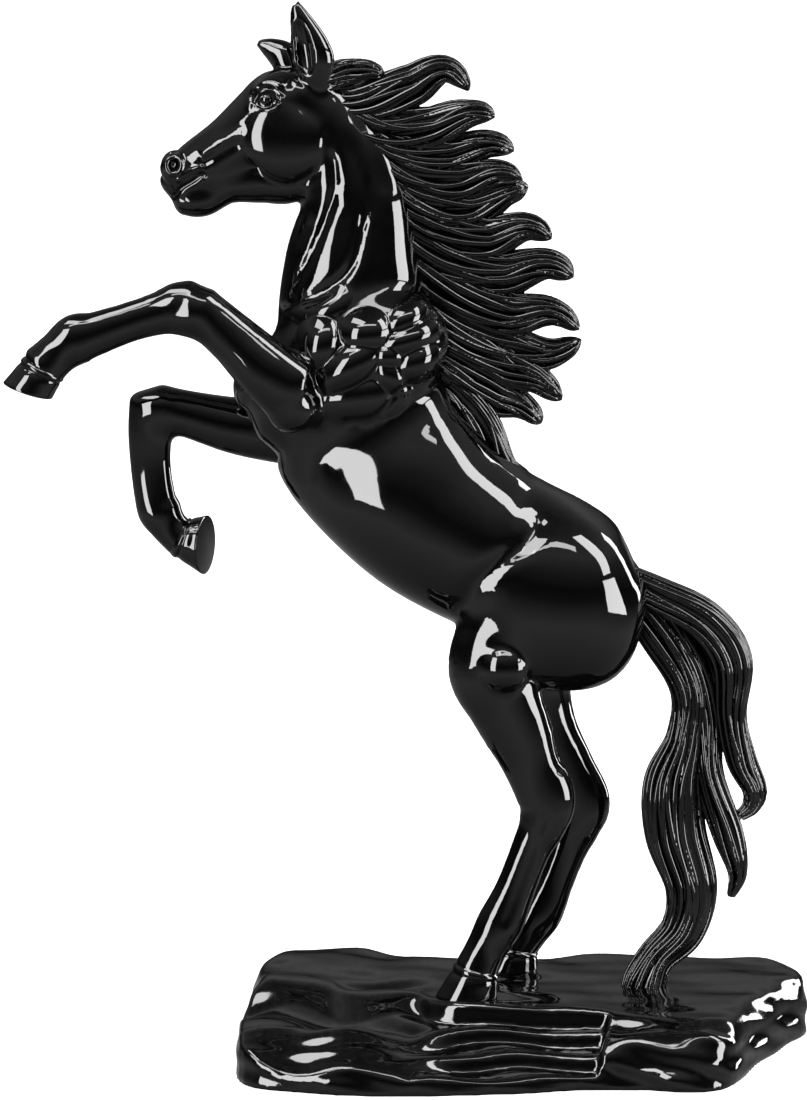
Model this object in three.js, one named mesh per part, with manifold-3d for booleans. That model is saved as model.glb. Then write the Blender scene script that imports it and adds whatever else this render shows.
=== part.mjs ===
// A rearing horse on a rock base, a table-top statue cast in two pieces: the figure, with its mane
// and tail, and the base that its hind hooves and the foot of its tail are set into.
// Millimetres, +Z up. The horse faces -X and its near side is -Y.
import * as THREE from 'three';
import { mergeVertices } from 'three/addons/utils/BufferGeometryUtils.js';
import Module from 'manifold-3d';

const wasm = await Module();
wasm.setup();

// Driving dimensions
const FIGURE_HEIGHT = 360; // soles of the hind hooves to the tip of the near ear
const BASE_LENGTH = 211; // longest run of the base's outline
const BASE_DEPTH = 114; // front to back
const BASE_HEIGHT = 24; // underside to the ground that the hooves stand on
const BASE_EDGE = 7; // upright edge round the foot of the rock
const SOCKET_DEPTH = 3; // how far the hooves and the tail are set into the rock
const SOCKET_GAP = 0.35; // clearance round them, filled with glue
const SOCKET_LIP = 1.6; // how far the rock rises round each foot
const BASE_FORWARD = 0.115; // middle of the base behind the neck's root, as a share of the height

// The carving is given in thousandths of the figure's height, measured from the sole level, with x
// from the middle of the withers and y from the middle plane.
const UNIT = FIGURE_HEIGHT / 1000;

// Bodies are skinned round a spine. A station is [x, z, y, half depth, half width]: half the depth
// across the spine in the side view, and half the width from side to side.
const TRUNK = [
  [203, 392, 0, 45, 48], [172, 406, 0, 74, 69], [134, 426, 0, 82, 74], [96, 446, 0, 82, 72],
  [68, 460, 0, 85.5, 73], [21, 492, 0, 90, 79], [-20, 534, 0, 93.5, 77], [-61, 578, 0, 90, 72],
  [-98, 606, 0, 75, 61], [-135, 618, 0, 56, 46], [-156, 624, 0, 32, 27],
];
const NECK = [
  [-49, 611, 0, 77, 62], [-57, 680, 0, 75, 52], [-57, 740, 0, 68, 43], [-54, 790, 0, 57, 36],
  [-59, 822, 0, 51.5, 32], [-69, 849, 0, 47, 29], [-86, 885, 0, 37, 25], [-101, 908, 0, 25, 19],
];
const SKULL = [
  [-110, 907, 0, 26, 23], [-126, 898, 0, 35, 29], [-142, 882, 0, 36, 28], [-176, 855, 0, 31, 22],
  [-209, 834, 0, 27, 18], [-229, 822, 0, 21, 16], [-236, 817, 0, 13, 12],
];
const JAW = [
  [-108, 842, 0, 23, 17], [-122, 829, 0, 29.5, 22], [-148, 825, 0, 25.5, 18], [-180, 820, 0, 21, 16],
  [-205, 808, 0, 21, 15.5], [-224, 805, 0, 17, 13],
];
const NEAR_EAR = [
  [-90, 913, -12, 11, 8], [-95, 940, -16, 20, 10], [-98, 964, -18, 20, 9], [-105, 985, -18, 12, 6],
  [-111, 998, -18, 3.5, 2.5],
];
const FAR_EAR = [
  [-113, 920, 12, 10, 8], [-126, 938, 16, 16, 10], [-142, 946, 19, 10.5, 7], [-152, 950, 20, 4, 3],
];
const NEAR_FOREARM = [
  [-88, 622, -40, 26, 16], [-109, 620, -56, 33, 22], [-138, 642, -60, 31, 23],
  [-175, 677, -58, 25.5, 19], [-205, 703, -56, 24, 17],
];
const NEAR_FORE_CANNON = [
  [-214, 708, -56, 25.5, 17], [-229, 705, -56, 25.5, 16], [-248, 700, -56, 21, 13.5],
  [-275, 692, -56, 19.5, 12.5], [-307, 681, -56, 21.5, 13.5], [-326, 675, -56, 25, 15.5],
  [-344, 662, -56, 21.5, 14.5], [-358, 649, -56, 22.5, 16.5],
];
const FAR_FOREARM = [
  [-91, 558, 36, 31, 18], [-131, 561, 49, 33, 22], [-175, 566, 50, 29, 20], [-220, 577, 50, 24, 16.5],
  [-250, 584, 50, 23, 16],
];
const FAR_FORE_CANNON = [
  [-259, 589, 50, 22.5, 16], [-261, 560, 50, 22, 14.5], [-261, 528, 50, 20.3, 12.5],
  [-257, 494, 50, 20.5, 13.2], [-252, 478, 50, 22, 15], [-243, 463, 50, 19, 14],
  [-231, 451, 50, 19.4, 16],
];
const NEAR_HIND = [
  [130, 398, -40, 62, 31], [93, 364, -44, 54, 32], [79, 337, -45, 43, 29], [91, 309, -45, 39, 26],
  [107, 275, -45, 35.5, 22], [120, 242, -45, 29.5, 18.5], [134, 207, -46, 29, 17],
  [130, 180, -46, 24, 15.5], [119, 155, -46, 20, 13], [103, 112, -46, 20, 12.9],
  [88, 76, -46, 23.5, 15.5], [74, 50, -46, 20.5, 14.4], [65, 30, -46, 21.8, 17],
];
const FAR_HIND = [
  [150, 398, 40, 60, 31], [122, 357, 44, 52, 32], [121, 330, 45, 54, 30], [119, 298, 45, 43, 26],
  [133, 256, 45, 34, 21.5], [155, 214, 45, 29.5, 18], [171, 177, 45, 30, 17], [167, 152, 45, 25, 15.5],
  [158, 126, 45, 20, 13], [146, 93, 45, 19, 12.7], [132, 60, 45, 22, 15.3],
  [119, 38, 45, 19.5, 14.4], [107, 22, 45, 20.5, 17],
];

// A hoof is [coronet front, coronet heel, toe, sole heel] in the side view, its y, and half its
// width at the coronet and at the sole.
const FORE_HOOVES = [
  { side: [[-378, 657], [-340, 636], [-399, 632], [-351, 616]], y: -56, coronet: 17, sole: 21 },
  { side: [[-241, 434], [-224, 470], [-207, 413], [-206, 474]], y: 50, coronet: 17, sole: 21 },
];
const HIND_HOOVES = [
  { side: [[44, 35], [87, 23], [23, 0], [86, 0]], y: -46, coronet: 18, sole: 22 },
  { side: [[88, 26], [128, 17], [73, 0], [129, 0]], y: 45, coronet: 18, sole: 22 },
];

// Muscles and the face's forms that stand proud: [x, z, y, half length, half height, half width,
// tilt]. Tilt is in degrees, and lifts the end towards the tail. The first list is on both sides,
// and the second, smaller lobes of the shoulder, on the near side that the statue is made to show.
const FORMS = [
  [137, 405, -34, 92, 86, 50, -45], [170, 370, -28, 52, 50, 36, -60], [86, 348, -58, 26, 34, 20, 15],
  [-51, 655, -34, 84, 62, 33, 20], [-118, 608, -58, 24, 26, 20, 0], [-97, 660, -50, 20, 33, 18, 10],
  [-47, 685, -52, 26, 22, 17, 0], [4, 650, -56, 26, 24, 17, 0], [-60, 617, -57, 52, 25, 19, 5],
  [-126, 858, -14, 36, 36, 16, 0], [-140, 906, -22, 10, 8, 9, -20], [-229, 829, -11, 11, 13, 9, 60],
];
const NEAR_LOBES = [
  [-9, 697, -46, 26, 14, 14, 35], [-4, 677, -52, 27, 13, 14, 12], [-64, 650, -58, 42, 20, 18, 35],
  [-27, 634, -58, 29, 18, 17, -60], [-102, 690, -42, 30, 14, 17, 25],
];
// What is hollowed out again: the nostrils, the near ear, and the lips' parting, a thin wedge
const NOSTRIL = [-233, 829, -20, 4, 6.5, 5, 60];
const EAR_HOLLOW = [-108, 952, -26, 10, 26, 9, -8];
const MOUTH = { from: [-248, 809], to: [-204, 820], half: 1.3, reach: 18 };

// A mane lock is [root x, root z, tip x, tip z, half depth, sag, lift]: it leaves the crest
// sinking by its sag, a share of its length, and comes up to its tip by its lift.
const MANE_LOCKS = [
  [-95, 914, -29, 927, 12, -0.2, 0.05], [-84, 904, 54, 911, 18, 0.2, 0.26],
  [-66, 886, 79, 886, 19, 0.2, 0.02], [-50, 864, 98, 851, 17.5, 0.27, 0.07],
  [-36, 840, 106, 824, 17.5, 0.27, 0.06], [-25, 812, 112, 815, 18.5, 0.3, -0.16],
  [-18, 788, 135, 766, 19.5, 0.28, 0.1], [-11, 759, 157, 726, 21, 0.26, 0.1],
  [-5, 729, 163, 676, 19, 0.24, 0.12], [3, 696, 165, 662, 18, 0.24, -0.1],
  [10, 668, 146, 605, 18.5, 0.12, 0.22], [22, 640, 127, 580, 18, 0.12, 0.2],
  [30, 612, 110, 522, 17, 0.1, 0.1],
];
const MANE_ROOT_WIDTH = 27; // half width of a lock where it leaves the crest
const MANE_TIP_WIDTH = 9;
const MANE_SPREAD = 5; // how far the tips stand to either side, by turns
const MANE_STATIONS = [0, 0.32, 0.6, 0.83, 0.97]; // shares of the way from root to tip
const MANE_ROOT_RUN = 0.38; // share of its length that a lock keeps its first direction for
const MANE_TIP_RUN = 0.33; // and its last one
const MANE_BELLY = 0.28; // how much deeper a lock is midway, as a share of its half depth
const MANE_END_DEPTH = 0.82; // its half depth at the root, as the same share
const STRAND_DEPTH = 0.13; // every second corner of a lock's section is a groove this deep, as a share

// The tail falls in three locks with stations as above. The last one reaches into its socket.
const TAIL_LOCKS = [
  [[199, 426, -3, 15, 12], [240, 407, -6, 18, 17], [291, 380, -8, 20, 20], [319, 340, -7, 20, 18],
    [320, 283, -6, 15, 15], [329, 236, -6, 15, 13], [343, 200, -6, 11.5, 10],
    [334, 178, -6, 6, 5]],
  [[203, 420, 4, 17, 13], [244, 386, 6, 22, 18], [279, 338, 7, 20, 20], [293, 284, 6, 18, 17],
    [297, 222, 0, 15, 14], [317, 160, -5, 16.5, 12.5], [328, 118, -5, 10.5, 9], [322, 94, -5, 4.5, 4]],
  [[207, 416, 0, 18, 13], [247, 366, 0, 22.5, 19], [276, 310, 0, 18.5, 19], [274, 258, 0, 19.5, 19],
    [262, 210, 0, 29.5, 22], [265, 158, 0, 31, 22], [281, 102, 0, 26.5, 19], [274, 58, 0, 23, 16],
    [249, 28, 0, 19, 15], [238, 4, 0, 22, 17], [233, -18, 0, 22, 17]],
];

// Facets round each kind of form
const TRUNK_SIDES = 16;
const NECK_SIDES = 12;
const HEAD_SIDES = 10;
const LIMB_SIDES = 8;
const EAR_SIDES = 8;
const LOCK_SIDES = 8;
const HOOF_SIDES = 10;
const DOME = 0.45; // how far a rounded end stands out, as a share of its half depth
const DOME_RING = 0.6; // size of the end's last ring, as a share of the one before it

const black = { color: 0x0b0b0c, roughness: 0.12, metalness: 0 };

function solidFrom(vertices, triangles) {
  const mesh = new wasm.Mesh({
    numProp: 3,
    vertProperties: new Float32Array(vertices),
    triVerts: new Uint32Array(triangles),
  });
  return new wasm.Manifold(mesh);
}

// Closes a stack of rings, each a list of [x, y, z] that runs anticlockwise seen from the far end
function solidOfRings(rings) {
  const sides = rings[0].length;
  const middle = (ring) => [0, 1, 2].map((c) => ring.reduce((sum, p) => sum + p[c], 0) / sides);
  const vertices = rings.flat(2);
  const first = rings.length * sides;
  vertices.push(...middle(rings[0]), ...middle(rings[rings.length - 1]));
  const triangles = [];
  for (let j = 0; j < sides; j += 1) {
    const next = (j + 1) % sides;
    triangles.push(first, next, j);
    for (let i = 0; i + 1 < rings.length; i += 1) {
      const here = i * sides;
      const beyond = here + sides;
      triangles.push(here + j, here + next, beyond + next, here + j, beyond + next, beyond + j);
    }
    const end = first - sides;
    triangles.push(first + 1, end + j, end + next);
  }
  return solidFrom(vertices, triangles);
}

// A ring round a station, square to the spine's direction in the side view
function ringAt([x, z, y, depth, width], [alongX, alongZ], sides, grooves) {
  const ring = [];
  for (let j = 0; j < sides; j += 1) {
    const angle = (j / sides) * 2 * Math.PI;
    const swell = 1 - grooves * (j % 2);
    const across = depth * swell * Math.cos(angle);
    ring.push([x + across * alongZ, y + width * swell * Math.sin(angle), z - across * alongX]);
  }
  return ring;
}

// A body skinned over its stations, with rounded ends that stand out by a share of the end's depth
function limb(stations, sides, grooves = 0) {
  const rows = stations.map((row) => row.map((value) => value * UNIT));
  const last = rows.length - 1;
  const direction = (i) => {
    const a = rows[Math.max(i - 1, 0)];
    const b = rows[Math.min(i + 1, last)];
    const length = Math.hypot(b[0] - a[0], b[1] - a[1]);
    return [(b[0] - a[0]) / length, (b[1] - a[1]) / length];
  };
  const endRing = (i, sign) => {
    const [alongX, alongZ] = direction(i);
    const [x, z, y, depth, width] = rows[i];
    const out = sign * depth * DOME;
    const station = [x + out * alongX, z + out * alongZ, y, depth * DOME_RING, width * DOME_RING];
    return ringAt(station, [alongX, alongZ], sides, grooves);
  };
  const rings = rows.map((row, i) => ringAt(row, direction(i), sides, grooves));
  return solidOfRings([endRing(0, -1), ...rings, endRing(last, 1)]);
}

// A ring between two points of the side view
function ringBetween([frontX, frontZ], [backX, backZ], y, width, sides) {
  const ring = [];
  for (let j = 0; j < sides; j += 1) {
    const angle = (j / sides) * 2 * Math.PI;
    const share = 0.5 + 0.5 * Math.cos(angle);
    const [x, z] = [backX + (frontX - backX) * share, backZ + (frontZ - backZ) * share];
    ring.push([x, y + width * Math.sin(angle), z]);
  }
  return ring;
}

// A hoof's rings: [share of the way down, half width as a share of the coronet's, pinch]. Pinch draws
// the toe and heel together. The raised band of the coronet lies between the second and the fourth.
const HOOF_RINGS = [[-0.1, 0.86, 0.12], [0, 1, 0], [0.1, 1.03, -0.04], [0.18, 0.99, 0.01]];

// A hoof from its coronet to its sole; sunk carries it on below the sole, and grow widens it
function hoof({ side, y, coronet, sole }, sunk = 0, grow = 0) {
  const [front, heel, toe, soleHeel] = side.map(([x, z]) => [x * UNIT, z * UNIT]);
  const middleY = y * UNIT;
  const lerp = (a, b, t) => [a[0] + (b[0] - a[0]) * t, a[1] + (b[1] - a[1]) * t];
  const spread = (a, b) => {
    const length = Math.hypot(a[0] - b[0], a[1] - b[1]);
    return [a[0] + ((a[0] - b[0]) / length) * grow, a[1] + ((a[1] - b[1]) / length) * grow];
  };
  const rings = [...HOOF_RINGS, [1, sole / coronet, 0]].map(([t, width, pinch]) => {
    const a = lerp(lerp(front, toe, t), lerp(heel, soleHeel, t), pinch);
    const b = lerp(lerp(heel, soleHeel, t), lerp(front, toe, t), pinch);
    return ringBetween(spread(a, b), spread(b, a), middleY, coronet * width * UNIT + grow, HOOF_SIDES);
  });
  if (sunk > 0) {
    rings.push(rings[rings.length - 1].map(([px, py, pz]) => [px, py, pz - sunk]));
  }
  return outward(solidOfRings(rings), rings);
}

// Rings made from two points can run either way round: the volume says which
function outward(solid, rings) {
  return solid.volume() > 0 ? solid : solidOfRings(rings.map((ring) => [...ring].reverse()));
}

function ellipsoid([x, z, y, length, height, width, tilt], detail = 1) {
  const ball = new THREE.IcosahedronGeometry(1, detail);
  ball.deleteAttribute('normal');
  ball.deleteAttribute('uv');
  ball.scale(length * UNIT, width * UNIT, height * UNIT);
  ball.rotateY(-THREE.MathUtils.degToRad(tilt));
  ball.translate(x * UNIT, y * UNIT, z * UNIT);
  const merged = mergeVertices(ball, 1e-4);
  return solidFrom(merged.getAttribute('position').array, merged.getIndex().array);
}

const farSide = (row) => row.map((value, c) => (c === 2 ? -value : value));

// One lock of the mane, from the crest to its tip, grooved into strands
function maneLock([rootX, rootZ, tipX, tipZ, depth, sag, lift], turn) {
  const length = Math.hypot(tipX - rootX, tipZ - rootZ);
  const path = new THREE.CubicBezierCurve(
    new THREE.Vector2(rootX, rootZ),
    new THREE.Vector2(rootX + MANE_ROOT_RUN * length, rootZ - sag * length),
    new THREE.Vector2(tipX - MANE_TIP_RUN * length, tipZ + lift * length),
    new THREE.Vector2(tipX, tipZ),
  );
  const stations = MANE_STATIONS.map((t) => {
    const point = path.getPoint(t);
    const taper = (1 - t ** 5) ** 0.8;
    const half = depth * (MANE_END_DEPTH + MANE_BELLY * Math.sin(Math.PI * t)) * taper;
    const width = THREE.MathUtils.lerp(MANE_ROOT_WIDTH, MANE_TIP_WIDTH, t ** 0.8) * taper;
    return [point.x, point.y, turn * MANE_SPREAD * t * t, half, width];
  });
  return limb(stations, LOCK_SIDES, STRAND_DEPTH);
}

// The wedge between the lips, right through the muzzle
function mouthCut() {
  const { from, to, half, reach } = MOUTH;
  const ring = (y) => [[from[0], from[1] - half], [to[0], to[1]], [from[0], from[1] + half]]
    .map(([x, z]) => [x * UNIT, y * UNIT, z * UNIT]);
  const rings = [ring(-reach), ring(reach)];
  return outward(solidOfRings(rings), rings);
}

const join = (solids) => solids.reduce((whole, solid) => whole.add(solid));

const tailLock = (rows) => limb(rows, LOCK_SIDES, STRAND_DEPTH);

// What stands in the rock, the hind hooves and the tail's last lock, cut off flat below. A lock's
// flat sides move out less than its corners, so the clearance round it is drawn that much larger.
const FACET_GROWTH = 1.2;
function feet(grow = 0) {
  const more = (FACET_GROWTH * grow) / UNIT;
  const wider = TAIL_LOCKS.at(-1).map(([x, z, y, depth, width]) => [x, z, y, depth + more, width + more]);
  const hooves = HIND_HOOVES.map((one) => hoof(one, 2 * SOCKET_DEPTH, grow));
  return join([...hooves, tailLock(wider)]).trimByPlane([0, 0, 1], -SOCKET_DEPTH - grow);
}

function horse() {
  const body = [
    limb(TRUNK, TRUNK_SIDES),
    limb(NECK, NECK_SIDES),
    limb(SKULL, HEAD_SIDES),
    limb(JAW, HEAD_SIDES),
  ];
  const limbs = [
    limb(NEAR_FOREARM, LIMB_SIDES), limb(NEAR_FORE_CANNON, LIMB_SIDES), limb(FAR_FOREARM, LIMB_SIDES),
    limb(FAR_FORE_CANNON, LIMB_SIDES), limb(NEAR_HIND, LIMB_SIDES), limb(FAR_HIND, LIMB_SIDES),
  ];
  const hooves = FORE_HOOVES.map((one) => hoof(one));
  const [haunch, ...others] = FORMS;
  const forms = [haunch, farSide(haunch)].map((row) => ellipsoid(row, 2)); // large, so finer
  forms.push(...[...others, ...others.map(farSide), ...NEAR_LOBES].map((row) => ellipsoid(row)));
  const ears = [limb(NEAR_EAR, EAR_SIDES), limb(FAR_EAR, EAR_SIDES)];
  const mane = MANE_LOCKS.map((lock, i) => maneLock(lock, i % 2 ? 1 : -1));
  const tail = TAIL_LOCKS.slice(0, -1).map(tailLock);
  return join([...body, ...limbs, ...hooves, ...forms, ...ears, ...mane, ...tail, feet()])
    .subtract(ellipsoid(NOSTRIL))
    .subtract(ellipsoid(farSide(NOSTRIL)))
    .subtract(ellipsoid(EAR_HOLLOW))
    .subtract(mouthCut())
    .translate([0, 0, BASE_HEIGHT]);
}

// The rock's outline in plan, as shares of half its length and half its depth
const OUTLINE = [
  [-0.97, -0.8], [-1, -0.3], [-0.97, 0.12], [-0.95, 0.58], [-0.83, 0.91], [-0.57, 0.94], [-0.34, 0.68],
  [0, 0.65], [0.34, 0.8], [0.62, 0.72], [0.89, 0.62], [1, 0.28], [0.9, -0.08], [0.79, -0.45],
  [0.7, -0.84], [0.55, -0.95], [0.26, -0.9], [-0.06, -0.98], [-0.37, -1.02], [-0.68, -0.99],
];
const OUTLINE_STEPS = 2;
// Ledges climb from the edge to the ground: [share of the slope crossed, share of the height]
const LEDGES = [[0, 0], [0.1, 0.12], [0.34, 0.2], [0.44, 0.5], [0.66, 0.58], [0.8, 0.93], [1, 1]];
const RING_SHARES = [1, 0.94, 0.87, 0.79, 0.7, 0.6, 0.42];
const SLOPE_FRONT = 0.5; // how much of the way to the middle the ledges take in front
const SLOPE_BACK = 0.09;
const UNDERCUT = 0.99; // the underside's share of the outline
// Uneven ground: waves in height are shares of the base's, their lengths are millimetres
const WAVES = { broad: 0.05, broadX: 9, broadY: 7, slant: 0.04, slantRun: 5 };
const EDGE_WAVE = 0.25; // how much the upright edge's height varies round the base
const WANDER = [0.09, 0.06]; // how much the ledges' width varies, in five and in eleven waves
const LIP_X = 14; // reach of the swelling round each foot
const LIP_Y = 11;

function ledge(u) {
  const k = Math.max(LEDGES.findIndex(([share]) => share > u), 1);
  const [a, b] = [LEDGES[k - 1], LEDGES[k]];
  return u >= 1 ? 1 : a[1] + ((b[1] - a[1]) * (u - a[0])) / (b[0] - a[0]);
}

// Where the feet stand, in plan
const TAIL_FOOT = TAIL_LOCKS.at(-1).at(-2);
const FEET = [
  ...HIND_HOOVES.map(({ side, y }) => [((side[2][0] + side[3][0]) / 2) * UNIT, y * UNIT]),
  [TAIL_FOOT[0] * UNIT, TAIL_FOOT[2] * UNIT],
];

function rock() {
  const centre = BASE_FORWARD * FIGURE_HEIGHT;
  const closed = new THREE.CatmullRomCurve3(OUTLINE.map(([x, y]) => new THREE.Vector3(x, y, 0)), true);
  const count = OUTLINE.length * OUTLINE_STEPS;
  const edge = Array.from({ length: count }, (_, j) => closed.getPoint(j / count));
  const rise = BASE_HEIGHT - BASE_EDGE;
  const height = (share, angle, x, y) => {
    const front = 0.5 - 0.5 * Math.sin(angle);
    const slope = THREE.MathUtils.lerp(SLOPE_BACK, SLOPE_FRONT, front ** 4);
    const wander = WANDER[0] * Math.sin(5 * angle) + WANDER[1] * Math.sin(11 * angle + 1);
    const u = THREE.MathUtils.clamp((1 - share) / (slope * (1 + wander)), 0, 1);
    const swells = WAVES.broad * Math.sin(x / WAVES.broadX + 1) * Math.sin(y / WAVES.broadY)
      + WAVES.slant * Math.sin((x - y) / WAVES.slantRun);
    const lips = FEET.map(([footX, footY]) => {
      const far = ((x - footX) / LIP_X) ** 2 + ((y - footY) / LIP_Y) ** 2;
      return SOCKET_LIP * Math.exp(-far);
    });
    const edgeTop = BASE_EDGE * (1 + EDGE_WAVE * Math.sin(3 * angle + 2));
    return edgeTop * (1 - u) + (BASE_EDGE * u + rise * ledge(u)) * (1 + swells * u) + Math.max(...lips) * u;
  };
  const rings = [
    edge.map((p) => [centre + (UNDERCUT * p.x * BASE_LENGTH) / 2, (UNDERCUT * p.y * BASE_DEPTH) / 2, 0]),
  ];
  for (const share of RING_SHARES) {
    rings.push(edge.map((p) => {
      const x = centre + (share * p.x * BASE_LENGTH) / 2;
      const y = (share * p.y * BASE_DEPTH) / 2;
      return [x, y, height(share, Math.atan2(p.y, p.x), x, y)];
    }));
  }
  const solid = outward(solidOfRings(rings), rings);
  return solid.subtract(feet(SOCKET_GAP).translate([0, 0, BASE_HEIGHT]));
}

function meshOf(name, solid) {
  const { vertProperties, triVerts } = solid.getMesh();
  const geometry = new THREE.BufferGeometry();
  geometry.setAttribute('position', new THREE.BufferAttribute(vertProperties, 3));
  geometry.setIndex(new THREE.BufferAttribute(triVerts, 1));
  geometry.computeVertexNormals();
  const mesh = new THREE.Mesh(geometry, new THREE.MeshStandardMaterial(black));
  mesh.name = name;
  return mesh;
}

const statue = new THREE.Group();
statue.add(meshOf('rearing_horse', horse()), meshOf('rock_base', rock()));

// The origin is the middle of the whole statue's underside
const bounds = new THREE.Box3().setFromObject(statue);
const middle = bounds.getCenter(new THREE.Vector3());
statue.position.set(-middle.x, -middle.y, -bounds.min.z);

export default statue;
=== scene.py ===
import math
import random

import bpy
import numpy as np
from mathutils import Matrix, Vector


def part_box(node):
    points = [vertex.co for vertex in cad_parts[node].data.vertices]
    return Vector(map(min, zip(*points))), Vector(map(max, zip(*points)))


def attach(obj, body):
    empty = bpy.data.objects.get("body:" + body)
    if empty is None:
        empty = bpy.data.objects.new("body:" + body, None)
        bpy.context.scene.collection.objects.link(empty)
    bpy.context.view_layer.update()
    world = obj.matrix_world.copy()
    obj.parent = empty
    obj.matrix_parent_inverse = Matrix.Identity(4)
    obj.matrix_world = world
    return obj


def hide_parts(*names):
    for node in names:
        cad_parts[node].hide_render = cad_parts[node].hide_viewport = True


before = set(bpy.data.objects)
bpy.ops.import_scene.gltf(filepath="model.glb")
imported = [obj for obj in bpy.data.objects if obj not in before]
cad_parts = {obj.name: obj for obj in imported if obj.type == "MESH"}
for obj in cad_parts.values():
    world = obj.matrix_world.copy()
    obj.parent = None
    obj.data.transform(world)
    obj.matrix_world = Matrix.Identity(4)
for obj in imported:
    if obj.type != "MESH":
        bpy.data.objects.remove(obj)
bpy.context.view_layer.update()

import openvdb
from mathutils import Vector

bpy.ops.object.select_all(action="DESELECT")

# The camera stands higher than the figure and looks down on it a little, from far off, with a long
# lens, square to the horse's near side.
CAMERA_BACK = 1.832
CAMERA_HEIGHT = 0.631
AIM_HEIGHT = 0.1862
LENS = 172.58
figure_low, figure_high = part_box("rearing_horse")
MIDDLE_Y = (figure_low.y + figure_high.y) / 2
CAMERA_X = -0.00463

bpy.ops.object.camera_add(location=(CAMERA_X, MIDDLE_Y - CAMERA_BACK, CAMERA_HEIGHT))
camera = bpy.context.object
camera.name = "camera"
camera.data.lens = LENS
camera.data.sensor_width = 36
camera.data.clip_end = 20
aim = Vector((CAMERA_X, MIDDLE_Y, AIM_HEIGHT))
camera.rotation_euler = (aim - camera.location).to_track_quat("-Z", "Y").to_euler()
bpy.context.scene.camera = camera


# The horse's body, head and legs: one smooth casting, polished like a wet stone. It is modelled as a
# distance field, made another way than by edit operators, because the masses have to flow into each
# other: limbs are skinned round spines, muscles are ellipsoids, and creases are drawn in with strokes.
SOCKET_DEPTH = 0.003
EAR_TIP = 1000.3  # height of the near ear's tip over the soles, in the units below
TOE = -399  # the foremost point, the near fore hoof's toe
GROUND = figure_low.z + SOCKET_DEPTH

# All the figure's carving is in thousandths of its height, x from the withers, z from the soles
UNIT = (figure_high.z - GROUND) / EAR_TIP
WITHERS = np.array([figure_low.x - TOE * UNIT, MIDDLE_Y, GROUND])

# A spine's station is [x, z, y, half depth, half width]
TRUNK = [
    [203, 392, 0, 45, 48], [172, 406, 0, 74, 69], [134, 426, 0, 82, 74], [96, 446, 0, 82, 72],
    [68, 460, 0, 85.5, 77], [21, 492, 0, 90, 77], [-20, 534, 0, 93.5, 70], [-61, 578, 0, 90, 50],
    [-98, 606, 0, 75, 44], [-135, 618, 0, 56, 38], [-156, 624, 0, 32, 25],
]
NECK = [
    [-49, 611, 0, 77, 50], [-57, 680, 0, 75, 48], [-57, 740, 0, 68, 43], [-54, 790, 0, 57, 36],
    [-59, 822, 0, 51.5, 32], [-69, 849, 0, 47, 29], [-86, 885, 0, 37, 25], [-101, 908, 0, 25, 19],
]
SKULL = [
    [-110, 907, 0, 26, 23], [-126, 898, 0, 35, 29], [-142, 882, 0, 36, 28], [-176, 855, 0, 31, 22],
    [-209, 834, 0, 27, 18], [-229, 822, 0, 21, 16], [-236, 817, 0, 13, 12],
]
JAW = [
    [-108, 842, 0, 23, 17], [-122, 829, 0, 29.5, 22], [-148, 825, 0, 25.5, 18],
    [-180, 820, 0, 21, 16], [-205, 808, 0, 21, 15.5], [-224, 805, 0, 17, 13],
]
NEAR_EAR = [
    [-90, 912, -12, 12, 8], [-92, 929, -15, 16.5, 10], [-95, 943, -17, 20, 11],
    [-101, 962, -18, 17.5, 10], [-108, 983, -18, 10.5, 7], [-114, 1000.5, -18, 3, 3],
]
FAR_EAR = [
    [-112, 922, 12, 10, 8], [-124, 940, 16, 15, 10], [-138, 949, 19, 10.5, 7], [-152, 955, 20, 2, 2.5],
]
NEAR_FOREARM = [
    [-88, 622, -40, 26, 16], [-109, 620, -56, 33, 22], [-138, 642, -60, 31, 23],
    [-175, 677, -58, 25.5, 19], [-205, 703, -56, 24, 17],
]
NEAR_FORE_CANNON = [
    [-214, 708, -56, 25.5, 17], [-229, 705, -56, 25.5, 16], [-248, 700, -56, 21, 13.5],
    [-275, 692, -56, 19.5, 12.5], [-307, 681, -56, 21.5, 13.5], [-326, 675, -56, 25, 15.5],
    [-344, 662, -56, 21.5, 14.5], [-358, 649, -56, 22.5, 16.5],
]
FAR_FOREARM = [
    [-91, 558, 36, 31, 18], [-131, 561, 49, 33, 22], [-175, 566, 50, 29, 20],
    [-220, 577, 50, 24, 16.5], [-250, 584, 50, 23, 16],
]
FAR_FORE_CANNON = [
    [-259, 589, 50, 22.5, 16], [-261, 560, 50, 22, 14.5], [-261, 528, 50, 20.3, 12.5],
    [-257, 494, 50, 20.5, 13.2], [-252, 478, 50, 22, 15], [-243, 463, 50, 19, 14],
    [-231, 451, 50, 19.4, 16],
]
NEAR_HIND = [
    [130, 398, -40, 62, 31], [93, 364, -44, 54, 32], [79, 337, -45, 43, 29], [91, 309, -45, 39, 26],
    [107, 275, -45, 35.5, 22], [120, 242, -45, 29.5, 18.5], [134, 207, -46, 29, 17],
    [130, 180, -46, 24, 15.5], [119, 155, -46, 20, 13], [103, 112, -46, 20, 12.9],
    [88, 76, -46, 23.5, 15.5], [74, 50, -46, 20.5, 14.4], [65, 30, -46, 21.8, 17],
]
FAR_HIND = [
    [150, 398, 40, 60, 31], [122, 357, 44, 52, 32], [121, 330, 45, 54, 30], [119, 298, 45, 43, 26],
    [133, 256, 45, 34, 21.5], [155, 214, 45, 29.5, 18], [171, 177, 45, 30, 17],
    [167, 152, 45, 25, 15.5], [158, 126, 45, 20, 13], [146, 93, 45, 19, 12.7],
    [132, 60, 45, 22, 15.3], [119, 38, 45, 19.5, 14.4], [107, 22, 45, 20.5, 17],
]

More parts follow.
